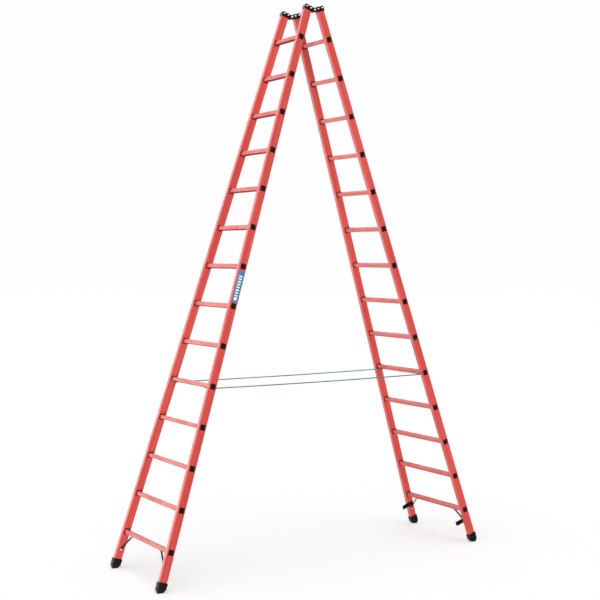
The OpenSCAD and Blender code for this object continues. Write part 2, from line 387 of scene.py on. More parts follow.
@dataclass(frozen=True)
class GalvanisedSteel:
    """Hot-dip galvanised flat bar: spangled zinc crystals that have weathered dark."""

    name: str
    base: str = "565A58"
    bright: str = "747875"
    dark: str = "222624"
    roughness: float = 0.42

    def material(self) -> bpy.types.Material:
        """Builds the material."""
        surface = Surface(self.name, self.roughness, metallic=1.0)
        skin = surface.place()
        # zinc crystals of about 4 mm
        crystals = add_node(surface.tree, "ShaderNodeTexVoronoi", {"Vector": skin, "Scale": 240.0})
        split = add_node(surface.tree, "ShaderNodeSeparateColor", {"Color": crystals.outputs["Color"]})
        tone = split.outputs[0]
        tint = surface.shades(tone, [(0.0, self.base), (1.0, self.bright)])
        stain = surface.span(surface.noise(skin, 55, 6, 0.65), 0.0, 0.8, 0.45, 0.68)
        surface.colour(surface.mix(stain, tint, self.dark))
        surface.rough(tone, 0.1, 0.12, 0, 1)
        return surface.relief((surface.noise(skin, 900, 3, 0.6), 0.03))


@dataclass(frozen=True)
class MouldedRubber:
    """Black rubber compound, compression moulded: matt, with floor dust near the sole."""

    name: str
    base: str = "050606"
    dusty: str = "262522"
    roughness: float = 0.68
    dust_height: float = 30 * MM

    def material(self) -> bpy.types.Material:
        """Builds the material."""
        surface = Surface(self.name, self.roughness, ior=1.52)
        surface.shader.inputs["Specular IOR Level"].default_value = 0.3
        skin = surface.place()
        height = add_node(surface.tree, "ShaderNodeSeparateXYZ", {"Vector": skin}).outputs["Z"]
        low = surface.span(height, 1.0, 0.0, 0.0, self.dust_height)
        cloud = surface.span(surface.noise(skin, 130, 5, 0.65), 0.0, 0.6, 0.42, 0.7)
        surface.colour(surface.mix(surface.multiply(low, cloud), self.base, self.dusty))
        surface.rough(cloud, 0.08, 0.12, 0, 0.6)
        return surface.relief((surface.noise(skin, 900, 3, 0.6), 0.08))


@dataclass(frozen=True)
class WovenPolyester:
    """Flat polyester webbing: warp along the strap, finer weft across, painted shade between threads and
    painted highlights on them, soft sheen.
    """

    name: str
    warp: str = "0AA7B4"
    # the shade colour is painted shade for the gaps between threads; the next colour is a painted highlight
    # for the thread tops and also the tone of the faded patches
    shade: str = "087682"
    painted_highlight_and_faded: str = "17C3D2"
    roughness: float = 0.9

    def material(self) -> bpy.types.Material:
        """Builds the material."""
        surface = Surface(self.name, self.roughness, ior=1.5)
        surface.shader.inputs["Specular IOR Level"].default_value = 0.15
        surface.shader.inputs["Sheen Weight"].default_value = 0.08
        surface.shader.inputs["Sheen Roughness"].default_value = 0.5
        skin = surface.place()
        # real warp is 1.5 mm apart and weft 2 mm, drawn at 3 and 4 mm so that they show:
        # a wave of scale 1 repeats every 314 mm
        threads = []
        for direction, scale, waver in (("Y", 105.0, 0.4), ("X", 78.0, 0.3)):
            inputs = {"Vector": skin, "Scale": scale, "Distortion": waver, "Detail": 1.0}
            wave = add_node(surface.tree, "ShaderNodeTexWave", inputs, bands_direction=direction)
            threads.append(wave.outputs["Fac"])
        cross = surface.multiply(*threads)
        # the ramp paints shade into the gaps between threads and a highlight on their tops
        tint = surface.shades(cross, [(0.0, self.shade), (0.9, self.painted_highlight_and_faded), (0.4, self.warp)])
        faded = surface.span(surface.noise(skin, 14, 4, 0.6), 0.0, 0.25, 0.45, 0.7)
        # faded patches lean to the same pale teal as the painted highlight
        surface.colour(surface.mix(faded, tint, self.painted_highlight_and_faded))
        return surface.relief((cross, 0.35))


@dataclass(frozen=True)
class VinylFilm:
    """Printed vinyl sticker: an even colour under a smooth clear film, slightly rubbed."""

    name: str
    base: str = "2A7DB5"
    rubbed: str = "5C9CC6"
    roughness: float = 0.3

    def material(self) -> bpy.types.Material:
        """Builds the material."""
        surface = Surface(self.name, self.roughness, ior=1.46)
        skin = surface.place()
        wear = surface.span(surface.noise(skin, 120, 6, 0.7), 0.0, 0.35, 0.52, 0.74)
        surface.colour(surface.mix(wear, self.base, self.rubbed))
        surface.rough(wear, 0.0, 0.2, 0, 0.35)
        return surface.relief((surface.noise(skin, 420, 2, 0.5), 0.01))


# --------------------------------------------------------------------------- shaping


def rounded_rectangle(
    width: float, height: float, radius: float, level: float = 0.0, steps: int = 5
) -> Ring:
    """Outline of a rectangle with round corners, at one level.

    Args:
        width: Size along X.
        height: Size along Y.
        radius: Corner radius.
        level: Its Z.
        steps: Facets in each corner.

    Returns:
        The outline, anticlockwise.
    """
    ring = []
    for quarter, (sx, sy) in enumerate(((1, 1), (-1, 1), (-1, -1), (1, -1))):
        for step in range(steps + 1):
            angle = math.radians(90) * (quarter + step / steps)
            ring.append(Vector((
                sx * (width / 2 - radius) + radius * math.cos(angle),
                sy * (height / 2 - radius) + radius * math.sin(angle),
                level,
            )))
    return ring


def regular_ring(radius: float, level: float, sides: int = 32) -> Ring:
    """Points evenly round a circle at one level."""
    turns = [2 * math.pi / sides * i for i in range(sides)]
    return [Vector((radius * math.cos(turn), radius * math.sin(turn), level)) for turn in turns]


def arc(
    centre: tuple[float, float], radius: float, start: float, end: float, steps: int = 10
) -> list[Vector]:
    """Points on an arc.

    Args:
        centre: Its centre.
        radius: Its radius.
        start: First angle in degrees.
        end: Last angle in degrees.
        steps: Facets along it.

    Returns:
        The points, from start to end.
    """
    angles = [math.radians(start + (end - start) * i / steps) for i in range(steps + 1)]
    middle = Vector(centre)
    return [middle + radius * Vector((math.cos(a), math.sin(a))) for a in angles]


def inset(outline: Sequence[Vector], amount: float, level: float) -> Ring:
    """Moves an anticlockwise outline inwards by an even amount.

    Args:
        outline: The outline's points.
        amount: How far inwards.
        level: The Z of the new ring.

    Returns:
        The moved outline.
    """
    ring = []
    for i, point in enumerate(outline):
        before = (point - outline[i - 1]).normalized()
        after = (outline[(i + 1) % len(outline)] - point).normalized()
        first, second = Vector((-before.y, before.x)), Vector((-after.y, after.x))
        share = max(1 + first.dot(second), 0.35)
        ring.append(Vector((*(point + (first + second) * amount / share), level)))
    return ring


class Maker:
    """Builds one piece's mesh out of lofts, then dresses it and hangs it on its body."""

    BAR_ROUNDING = 0.24  # corner radius of a bar, as a share of its smaller side
    LEAST_SHARE = 0.12  # width left at the very tip of a round end, as a share of the bar's

    def __init__(self, name: str) -> None:
        """Starts an empty mesh for the piece of that name."""
        self.name = name
        self.bm = bmesh.new()

    def loft(
        self, rings: Sequence[Ring], place: Matrix = Matrix(), closed_loop: bool = False,
        material: int = 0,
    ) -> None:
        """Joins rings of equal length with a skin.

        Args:
            rings: The rings, in order.
            place: Where the loft goes.
            closed_loop: Joins the last ring to the first, in place of end faces.
            material: Index of the finish.
        """
        rows = [[self.bm.verts.new(place @ point) for point in ring] for ring in rings]
        faces = []
        pairs = list(zip(rows, rows[1:])) + ([(rows[-1], rows[0])] if closed_loop else [])
        for low, high in pairs:
            for i in range(len(low)):
                j = (i + 1) % len(low)
                faces.append(self.bm.faces.new((low[i], low[j], high[j], high[i])))
        if not closed_loop:
            faces.append(self.bm.faces.new(rows[0][::-1]))
            faces.append(self.bm.faces.new(rows[-1]))
        for face in faces:
            face.material_index = material

    def slab(
        self, outline: Sequence[Vector], low: float, high: float, edge: float,
        place: Matrix = Matrix(), material: int = 0,
    ) -> None:
        """Plate of any outline with rounded edges.

        Args:
            outline: Anticlockwise outline in X and Y.
            low: Lower face's Z.
            high: Upper face's Z.
            edge: Radius of the edges.
            place: Where the plate goes.
            material: Index of the finish.
        """
        steps = 3
        rings = []
        for face, inward in ((low, 1), (high, -1)):
            fan = []
            for i in range(steps + 1):
                angle = math.radians(90) * i / steps
                level = face + inward * edge * (1 - math.cos(angle))
                fan.append(inset(outline, edge * (1 - math.sin(angle)), level))
            rings += fan if inward == 1 else fan[::-1]
        self.loft(rings, place, material=material)

    def turned(
        self, profile: Sequence[tuple[float, float]], place: Matrix, sides: int = 32,
        material: int = 0,
    ) -> None:
        """Turned piece, or a prism where sides is small.

        Args:
            profile: Pairs of radius and height, from one end face to the other.
            place: Where it goes, with its axis on Z.
            sides: Facets round it.
            material: Index of the finish.
        """
        rings = [regular_ring(radius, level, sides) for radius, level in profile]
        self.loft(rings, place, material=material)

    def bar(
        self, route: Sequence[Vector], across: Vector, width: float, thickness: float,
        place: Matrix = Matrix(), round_ends: bool = True,
    ) -> None:
        """Flat bar bent along a route, with softened edges.

        Args:
            route: Points of its centre line, all in one plane.
            across: Unit vector across its width, square to that plane.
            width: Its width.
            thickness: Its thickness.
            place: Where the bar goes.
            round_ends: Ends each in a half circle, seen from its flat face.
        """
        stations = [(point, 1.0) for point in route]
        if round_ends:
            stations = self.round_stations(route, width / 2)
        points = [p for p, _ in stations]
        rings = []
        for i, (point, share) in enumerate(stations):
            before = (point - points[max(i - 1, 0)]) if i else points[1] - point
            after = (points[min(i + 1, len(points) - 1)] - point) if i < len(points) - 1 else before
            first, second = across.cross(before.normalized()), across.cross(after.normalized())
            lift = (first + second) / (1 + first.dot(second))
            radius = min(thickness, width * share) * self.BAR_ROUNDING
            section = rounded_rectangle(width * share, thickness, radius, steps=3)
            rings.append([point + across * corner.x + lift * corner.y for corner in section])
        self.loft(rings, place)

    def round_stations(
        self, route: Sequence[Vector], radius: float, steps: int = 6
    ) -> list[tuple[Vector, float]]:
        """Stations along a route whose width closes in a half circle at both ends.

        Args:
            route: Points of the centre line.
            radius: Radius of the ends.
            steps: Stations in each end.

        Returns:
            Points with the share of full width at each.
        """
        marks = [0.0]
        for start, stop in zip(route, route[1:]):
            marks.append(marks[-1] + (stop - start).length)
        total = marks[-1]
        cuts = [radius * (1 - math.cos(math.radians(90) * i / steps)) for i in range(steps + 1)]
        clear = radius * 1.02
        between = [mark for mark in marks if clear < mark < total - clear]
        spots = cuts + between + [total - cut for cut in cuts[::-1]]
        stations = []
        for spot in spots:
            k = max(i for i in range(len(route) - 1) if marks[i] <= spot + 1e-9)
            share = (spot - marks[k]) / (marks[k + 1] - marks[k])
            gap = min(spot, total - spot, radius)
            wide = max(math.sqrt(1 - (1 - gap / radius) ** 2), self.LEAST_SHARE)
            stations.append((route[k].lerp(route[k + 1], share), wide))
        return stations

    def finish(
        self, materials: Sequence[bpy.types.Material], body: str | None, slot: str,
        replaces: Sequence[str] = (),
    ) -> bpy.types.Object:
        """Turns the mesh into a piece of the ladder.

        Args:
            materials: Its finishes, in order of index.
            body: The CAD body it rides on, or None for a piece that rides on none.
            slot: The record's material slot.
            replaces: CAD nodes that it stands for.

        Returns:
            The finished object.
        """
        bmesh.ops.recalc_face_normals(self.bm, faces=self.bm.faces[:])
        mesh = bpy.data.meshes.new(self.name)
        self.bm.to_mesh(mesh)
        self.bm.free()
        for material in materials:
            mesh.materials.append(material)
        mesh.polygons.foreach_set("use_smooth", [True] * len(mesh.polygons))
        mesh.set_sharp_from_angle(angle=SMOOTH_ANGLE)
        piece = bpy.data.objects.new(self.name, mesh)
        bpy.context.scene.collection.objects.link(piece)
        if body is not None:
            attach(piece, body)
        if replaces:
            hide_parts(*replaces)
        log.info("%s: %d faces on %s, finish %s", self.name, len(mesh.polygons), body, slot)
        return piece


# --------------------------------------------------------------------------- the ladder's plan


@dataclass
class LadderPlan:
    """Where the hinge, rungs and stiles are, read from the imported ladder."""

    rung_count: int = 14
    stile_depth: float = 58 * MM
    stile_thickness: float = 29 * MM
    stile_offset: float = 20.5 * MM
    rung_size: float = 30 * MM
    hinge: Vector = field(init=False)
    lean: float = field(init=False)
    flare: float = field(init=False)
    drops: list[float] = field(init=False)
    top_width: float = field(init=False)

    def __post_init__(self) -> None:
        """Measures the hinge, lean, rungs and flare."""
        fold = next(joint for joint in frame["joints"] if joint["name"] == "fold")
        self.hinge = Vector(fold["pos_m"])
        self.lean = math.radians(fold["range_deg"][1]) / 2
        to_half = self.half(Side.RIGHT, End.FAR).inverted()
        boxes = [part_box(f"rung_right_{i}") for i in range(1, self.rung_count + 1)]
        self.drops = [-(to_half @ ((low + high) / 2)).z for low, high in boxes]
        reach = [high.y for _, high in boxes]
        self.flare = math.atan((reach[-1] - reach[0]) / (self.drops[-1] - self.drops[0]))
        rung_end = reach[0] + 0.5 * MM
        self.top_width = 2 * (rung_end - (self.drops[0] - self.rung_size / 2) * math.tan(self.flare))

    @property
    def stile_mid(self) -> float:
        """Distance from the hinge axis out to the middle of the stile."""
        return self.stile_offset + self.stile_depth / 2

    def half(self, side: Side, end: End) -> Matrix:
        """Frame of one half: origin on the hinge axis, X away from the other half, Z up its slope.

        Args:
            side: Which half.
            end: Which end of the rungs Y points to.

        Returns:
            The frame, mirrored where need be.
        """
        mirror = Matrix.Diagonal((side.sign, end.sign, 1, 1))
        return mirror @ Matrix.Translation(self.hinge) @ Matrix.Rotation(-self.lean, 4, "Y")

    def stile(self, side: Side, end: End) -> Matrix:
        """Frame of one stile: origin on its outer face level with the hinge, Y outward, Z up it."""
        corner = Matrix.Translation((self.stile_mid, self.top_width / 2, 0))
        return self.half(side, end) @ corner @ Matrix.Rotation(self.flare, 4, "X")

    def down(self, drop: float) -> float:
        """A drop along the half's slope, as a Z of the stile's frame."""
        return -drop / math.cos(self.flare)

    def outer_y(self, drop: float) -> float:
        """Distance from the middle to the stile's outer face, at a drop below the hinge."""
        return self.top_width / 2 + drop * math.tan(self.flare)

    def inner_y(self, drop: float) -> float:
        """Distance from the middle to the stile's inner face, at a drop below the hinge."""
        return self.outer_y(drop) - self.stile_thickness / math.cos(self.flare)


FACE_OUT = Matrix.Rotation(math.radians(-90), 4, "X")  # turns a piece's Z to +Y
FACE_IN = Matrix.Rotation(math.radians(90), 4, "X")  # turns a piece's Z to -Y
POINT_DOWN = Matrix.Rotation(math.radians(180), 4, "X")  # turns a piece's Z to -Z


def all_places() -> list[tuple[Side, End]]:
    """Every pairing of a half and an end."""
    return [(side, end) for side in Side for end in End]


# --------------------------------------------------------------------------- sub-assemblies


@dataclass
class SpreadStraps:
    """The two webbing straps that hold the halves apart, under the tenth rungs."""

    width: float = 45 * MM
    thickness: float = 2.4 * MM
    offset: float = 250 * MM
    selvedge: float = 3 * MM
    flat_share: float = 0.36
    tail: float = 26 * MM
    bend: float = 30 * MM
    half_route: tuple[tuple[float, float], ...] = (
        (0.0, 1.296), (0.220, 1.2965), (0.440, 1.2975), (0.660, 1.299), (0.884, 1.301),
    )

    def path(self, end: End) -> list[Vector]:
        """Centre line of one strap, from the left rung to the right one."""
        right = [Vector((x, end.sign * self.offset, z)) for x, z in self.half_route]
        return [Vector((-p.x, p.y, p.z)) for p in right[:0:-1]] + right

    def fine_path(self, end: End, spacing: float = 4 * MM) -> list[Vector]:
        """The centre line with points close enough to bend smoothly.

        Args:
            end: Which strap.
            spacing: Distance between points, in metres.

        Returns:
            The points, from the left rung to the right one.
        """
        points = []
        corners = self.path(end)
        for start, stop in zip(corners, corners[1:]):
            count = max(1, round((stop - start).length / spacing))
            points += [start.lerp(stop, i / count) for i in range(count)]
        return points + [corners[-1]]

    def section(self) -> list[Vector]:
        """Cross-section of the webbing, with a thicker rolled edge at each side."""
        half, flat, edge = self.width / 2, self.thickness * self.flat_share, self.thickness / 2
        rolled = [(half - 0.3 * MM, edge * 0.7), (half - self.selvedge / 2, edge),
                  (half - self.selvedge, flat)]
        upper = rolled + [(0.0, flat)] + [(-x, y) for x, y in rolled[::-1]]
        points = [(half, 0.0)] + upper + [(-half, 0.0)] + [(x, -y) for x, y in upper[::-1]]
        return [Vector(p) for p in points]

    def build(self, webbing: bpy.types.Material) -> None:
        """Makes both straps, each in one piece from the left rung to the right one.

        Args:
            webbing: Their finish.
        """
        for end in End:
            maker = Maker(f"webbing_strap_{end.value}")
            line = self.fine_path(end)
            rings = []
            for i, point in enumerate(line):
                along = (line[min(i + 1, len(line) - 1)] - line[max(i - 1, 0)]).normalized()
                lift = Vector((-along.z, 0, along.x))
                rings.append([point + Vector((0, c.x, 0)) + lift * c.y for c in self.section()])
            maker.loft(rings)
            strap = maker.finish([webbing], None, "strap_webbing",
                                 [f"strap_{side.value}_run_{end.value}" for side in Side])
            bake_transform(strap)


@dataclass
class StileAndRungFinish:
    """The CAD stiles and rungs keep their shape and take the glass-fibre finish."""

    plan: LadderPlan

    def build(self) -> None:
        """Dresses every stile and rung."""
        for side in Side:
            lean = side.sign * self.plan.lean
            for end in End:
                tilt = Euler((-end.sign * self.plan.flare, lean, 0))
                finish = PultrudedGlassFibre(f"glass_fibre_stile_{side.value}_{end.value}", turn=tuple(tilt))
                self.dress(f"stile_{side.value}_{end.value}", finish.material())
            rung = PultrudedGlassFibre(
                f"glass_fibre_rung_{side.value}", turn=(0.0, lean, 0.0), along_y=True,
                roughness=0.46, scuffing=0.3,
            ).material()
            for i in range(1, self.plan.rung_count + 1):
                self.dress(f"rung_{side.value}_{i}", rung)

    def dress(self, node: str, material: bpy.types.Material) -> None:
        """Puts a material on all of a CAD node's slots.

        Args:
            node: The node's name.
            material: Its finish.
        """
        for slot in frame["nodes"][node].material_slots:
            slot.material = material
        log.info("%s: CAD shape kept, dressed in %s", node, material.name)


@dataclass
class RungEnds:
    """Plug heads outside the stiles and collars inside them, at both ends of every rung."""

    plan: LadderPlan
    cap_size: float = 39 * MM
    collar_size: float = 41 * MM
    opening: float = 30.4 * MM

    def build(self, nylon: bpy.types.Material) -> None:
        """Makes the caps and collars of both halves.

        Args:
            nylon: Their finish.
        """
        for side in Side:
            caps = Maker(f"plug_heads_{side.value}")
            collars = Maker(f"rung_rings_{side.value}")
            for end in End:
                stile = self.plan.stile(side, end)
                for drop in self.plan.drops:
                    level = Matrix.Translation((0, 0, self.plan.down(drop)))
                    caps.loft(self.cap_rings(), stile @ level @ FACE_OUT)
                    inner = Matrix.Translation((
                        0, -self.plan.stile_thickness, self.plan.stile_thickness * math.tan(self.plan.flare)
                    ))
                    collars.loft(self.collar_rings(), stile @ level @ inner @ FACE_IN, closed_loop=True)
            caps.finish([nylon], f"{side.value}_half", "cap_plastic", [f"rung_caps_{side.value}"])
            collars.finish([nylon], f"{side.value}_half", "collar_plastic", [f"rung_collars_{side.value}"])

    def cap_rings(self) -> list[Ring]:
        """A domed square head with a shallow round-cornered recess in its face."""
        # how far in from the edge, level and corner radius, in mm
        steps = ((0.0, -0.4, 7.8), (0.0, 1.4, 7.8), (0.5, 2.3, 7.5), (1.6, 2.9, 7.1), (4.0, 3.5, 6.3),
                 (7.6, 3.9, 4.9), (9.6, 4.0, 4.3), (10.4, 3.7, 4.1), (10.9, 3.1, 3.9), (13.0, 3.0, 3.5),
                 (17.0, 3.0, 1.2))
        sizes = [self.cap_size - 2 * cut * MM for cut, _, _ in steps]
        return [
            rounded_rectangle(size, size, radius * MM, level * MM)
            for size, (_, level, radius) in zip(sizes, steps)
        ]

    def collar_rings(self) -> list[Ring]:
        """A flat square ring that fits round the rung, tapered towards it."""
        full, hole = self.collar_size, self.opening
        shape = ((full, 0.0, 7.0), (full, 1.4, 7.0), (full - 0.8 * MM, 2.2, 6.7),
                 (full - 3.0 * MM, 2.8, 6.2), (hole + 2.6 * MM, 3.0, 5.6),
                 (hole + 0.8 * MM, 2.6, 5.2), (hole, 1.9, 5.0), (hole, 0.0, 5.0))
        return [rounded_rectangle(size, size, radius * MM, level * MM) for size, level, radius in shape]


@dataclass
class HingeLeaves:
    """Cast caps over the stile tops, with a lobe over each bolt: forks on the left, tongues on the right."""

    plan: LadderPlan
    skin: float = 3 * MM
    drop: float = 22 * MM
    rise: float = 11 * MM
    lobe: float = 15.5 * MM
    eye: float = 16 * MM
    lug: float = 9 * MM
    lug_play: float = 0.3 * MM
    stile_top: float = 8 * MM
    bolt_inset: float = 12 * MM
    corner: float = 4 * MM

    @property
    def inner(self) -> float:
        """Y of the inner face."""
        return self.plan.top_width / 2 - self.plan.stile_thickness - self.skin

    @property
    def outer(self) -> float:
        """Y of the outer face."""
        return self.plan.top_width / 2 + self.drop * math.tan(self.plan.flare) + self.skin

    @property
    def bolt_places(self) -> tuple[float, float]:
        """X of the two stile bolts."""
        return (self.plan.stile_offset + self.bolt_inset,
                self.plan.stile_offset + self.plan.stile_depth - self.bolt_inset)

    def cover_outline(self) -> list[Vector]:
        """Outline over the stile top, from its lower outer corner over both lobes and down."""
        low_x = self.plan.stile_offset - self.skin
        high_x = self.plan.stile_offset + self.plan.stile_depth + self.skin
        first, second = self.bolt_places
        wall = math.degrees(math.acos((high_x - second) / self.lobe))
        notch = math.degrees(math.asin(self.rise / self.lobe))
        foot, corner = self.corner - self.drop, self.corner
        outline = arc((high_x - corner, foot), corner, -90, 0, 5)
        outline += arc((second, 0), self.lobe, wall, 180 - notch, 12)
        outline += arc((first, 0), self.lobe, notch, 180 - wall, 12)
        return outline + arc((low_x + corner, foot), corner, 180, 270, 5)

    def eye_outline(self, reach: float) -> list[Vector]:
        """The hinge eye with its neck.

        Args:
            reach: X at which the neck ends.

        Returns:
            The outline, anticlockwise.
        """
        top, bottom = self.eye - 6 * MM, -self.eye + 2 * MM
        start = math.degrees(math.asin(top / self.eye))
        end = math.degrees(math.asin(bottom / self.eye)) + 360
        return arc((0, 0), self.eye, start, end, 24) + [Vector((reach, bottom)), Vector((reach, top))]

    def build(self, coat: bpy.types.Material) -> None:
        """Makes the four leaves.

        Args:
            coat: Their finish.
        """
        for side, end in all_places():
            maker = Maker(f"hinge_casting_{side.value}_{end.value}")
            # the outlines lie in the half's X and Z, with their thickness along Y
            lay = self.plan.half(side, end) @ Matrix.Rotation(math.radians(90), 4, "X")
            edge = 0.9 * MM
            cheek = self.cover_outline()
            for low, high in ((self.inner, self.inner + self.skin), (self.outer - self.skin, self.outer)):
                maker.slab(cheek, -high, -low, edge, lay)
            maker.slab(self.crown_outline(), -self.outer + 1.2 * MM, -self.inner - 1.2 * MM, 0.3 * MM, lay)
            reach = self.plan.stile_offset - 0.2 * MM
            if side is Side.LEFT:
                eye = self.eye_outline(reach)
                for low, high in ((self.inner, self.inner + self.lug), (self.outer - self.lug, self.outer)):
                    maker.slab(eye, -high, -low, edge, lay)
            else:
                play = self.lug + self.lug_play
                maker.slab(self.eye_outline(reach), -self.outer + play, -self.inner - play, edge, lay)
            for x in self.bolt_places:
                boss = lay @ Matrix.Translation((x, 0, 0))
                maker.turned([(7.6 * MM, -self.outer - 0.6 * MM), (8.2 * MM, -self.outer - 0.2 * MM),
                              (8.2 * MM, -self.outer + 1 * MM)], boss, 40)
            maker.finish([coat], f"{side.value}_half", "leaf_metal", [f"hinge_leaf_{side.value}_{end.value}"])

    def crown_outline(self) -> list[Vector]:
        """The top and the two side walls between the cheeks, open below for the stile."""
        inner_x, outer_x = self.plan.stile_offset, self.plan.stile_offset + self.plan.stile_depth
        outline = self.cover_outline()
        pocket = [Vector((inner_x, -self.drop)), Vector((inner_x, self.stile_top + 0.1 * MM)),
                  Vector((outer_x, self.stile_top + 0.1 * MM)), Vector((outer_x, -self.drop))]
        # the cover's rounded lower corners become square here, where the side walls end
        body = [p for p in outline if p.y > self.corner - self.drop + 0.01 * MM]
        left, right = inner_x - self.skin, outer_x + self.skin
        return [Vector((right, -self.drop))] + body + [Vector((left, -self.drop))] + pocket


@dataclass
class RubberBoots:
    """Boots over the stiles' lower ends, with a level ribbed sole."""

    plan: LadderPlan
    height: float = 70 * MM
    wall: float = 3.5 * MM
    tread: float = 4 * MM
    chamfer: tuple[float, float] = (17 * MM, 13 * MM)
    outer_chamfer: tuple[float, float] = (24 * MM, 17 * MM)

    def build(self, rubber: bpy.types.Material) -> None:
        """Makes the four boots.

        Args:
            rubber: Their finish.
        """
        for side, end in all_places():
            node = f"foot_{side.value}_{end.value}"
            low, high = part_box(node)
            maker = Maker(f"rubber_boot_{side.value}_{end.value}")
            # outlines lie in X and Z, with their thickness along Y
            lay = Matrix.Diagonal((side.sign, 1, 1, 1)) @ Matrix.Rotation(math.radians(90), 4, "X")
            maker.slab(self.outline(lift=self.tread), -high.y, -low.y, 2.2 * MM, lay)
            maker.slab(self.band(), -high.y - 0.6 * MM, -low.y + 0.6 * MM, 1.2 * MM, lay)
            for start, stop in self.tread_bars():
                bar = [Vector((start, 0)), Vector((stop, 0)), Vector((stop, self.tread + 3 * MM)),
                       Vector((start, self.tread + 3 * MM))]
                maker.slab(bar, -high.y + 2.5 * MM, -low.y - 2.5 * MM, 0.7 * MM, lay)
            maker.finish([rubber], f"{side.value}_half", "foot_rubber", [node])

    def slope(self, out: float, drop: float) -> Vector:
        """A point of the right half, as X and Z of the whole ladder."""
        point = self.plan.half(Side.RIGHT, End.FAR) @ Vector((out, 0, -drop))
        return Vector((point.x, point.z))

    def drop_at(self, out: float, height: float) -> float:
        """How far down the slope a line at a distance out meets a height above the floor."""
        return (self.plan.hinge.z + out * math.sin(self.plan.lean) - height) / math.cos(self.plan.lean)

    @property
    def reach(self) -> tuple[float, float, float]:
        """Distances out to the two sides of the boot, and the drop to its top."""
        inner = self.plan.stile_offset - self.wall
        outer = self.plan.stile_offset + self.plan.stile_depth + self.wall
        return inner, outer, self.drop_at(self.plan.stile_mid, 0) - self.height

    def sole(self) -> tuple[float, float]:
        """X of the two edges of the level sole."""
        inner, outer, _ = self.reach
        return (self.slope(inner, self.drop_at(inner, 0)).x + self.chamfer[1],
                self.slope(outer, self.drop_at(outer, 0)).x - self.outer_chamfer[1])

    def outline(self, lift: float) -> list[Vector]:
        """The boot from the side, with its sole lifted off the floor for the tread.

        Args:
            lift: Height of the sole's plate over the floor.

        Returns:
            The outline, anticlockwise.
        """
        inner, outer, top = self.reach
        start, stop = self.sole()
        corner = [Vector((start, lift)), Vector((stop, lift)),
                  self.slope(outer, self.drop_at(outer, self.outer_chamfer[0]))]
        return [self.slope(inner, self.drop_at(inner, self.chamfer[0])), *corner,
                self.slope(outer, top + 3 * MM), self.slope(outer - 3 * MM, top),
                self.slope(inner + 3 * MM, top), self.slope(inner, top + 3 * MM)]

    def band(self) -> list[Vector]:
        """A raised band just below the boot's mouth."""
        inner, outer, top = self.reach
        return [self.slope(inner - 0.8 * MM, top + 15 * MM), self.slope(outer + 0.8 * MM, top + 15 * MM),
                self.slope(outer + 0.8 * MM, top + 7 * MM), self.slope(inner - 0.8 * MM, top + 7 * MM)]

    def tread_bars(self) -> list[tuple[float, float]]:
        """X of the two edges of each tread bar."""
        start, stop = self.sole()
        count, gap = 5, 3 * MM
        pitch = (stop - start + gap) / count
        return [(start + i * pitch, start + (i + 1) * pitch - gap) for i in range(count)]


@dataclass
class CornerBraces:
    """Flat bars from under the lowest rungs down to the stiles."""

    plan: LadderPlan
    reach: float = 105 * MM
    drop: float = 132 * MM
    width: float = 14 * MM
    thickness: float = 4 * MM
    tab: float = 28 * MM
    bend_radius: float = 9 * MM

    def build(self, steel: bpy.types.Material) -> None:
        """Makes the four braces.

        Args:
            steel: Their finish.
        """
        low = self.plan.drops[-1]
        under = -(low + self.plan.rung_size / 2 + self.thickness / 2 + 0.05 * MM)
        head = self.plan.inner_y(low) - self.reach
        foot_top, foot_end = low + self.drop - self.tab / 2, low + self.drop + self.tab / 2
        gap = self.thickness / 2 + 0.05 * MM
        mid = self.plan.stile_mid
        corners = [Vector((mid, head - self.tab, under)), Vector((mid, head, under)),
                   Vector((mid, self.plan.inner_y(foot_top) - gap, -foot_top)),
                   Vector((mid, self.plan.inner_y(foot_end) - gap, -foot_end))]
        route = soften(corners, self.bend_radius)
        for side, end in all_places():
            maker = Maker(f"corner_brace_{side.value}_{end.value}")
            maker.bar(route, Vector((1, 0, 0)), self.width, self.thickness, self.plan.half(side, end))
            maker.finish([steel], f"{side.value}_half", "brace_steel", [f"brace_{side.value}_{end.value}"])


def soften(corners: Sequence[Vector], radius: float, steps: int = 6) -> list[Vector]:
    """Rounds the corners of a route.

    Args:
        corners: The route's points.
        radius: Distance from each corner at which the bend starts.
        steps: Pieces in each bend.

    Returns:
        The rounded route.
    """
    route = [corners[0]]
    for before, corner, after in zip(corners, corners[1:], corners[2:]):
        reach = min(radius, (corner - before).length * 0.45, (after - corner).length * 0.45)
        start = corner + (before - corner).normalized() * reach
        stop = corner + (after - corner).normalized() * reach
        for i in range(steps + 1):
            t = i / steps
            route.append(start.lerp(corner, t).lerp(corner.lerp(stop, t), t))
    return route + [corners[-1]]


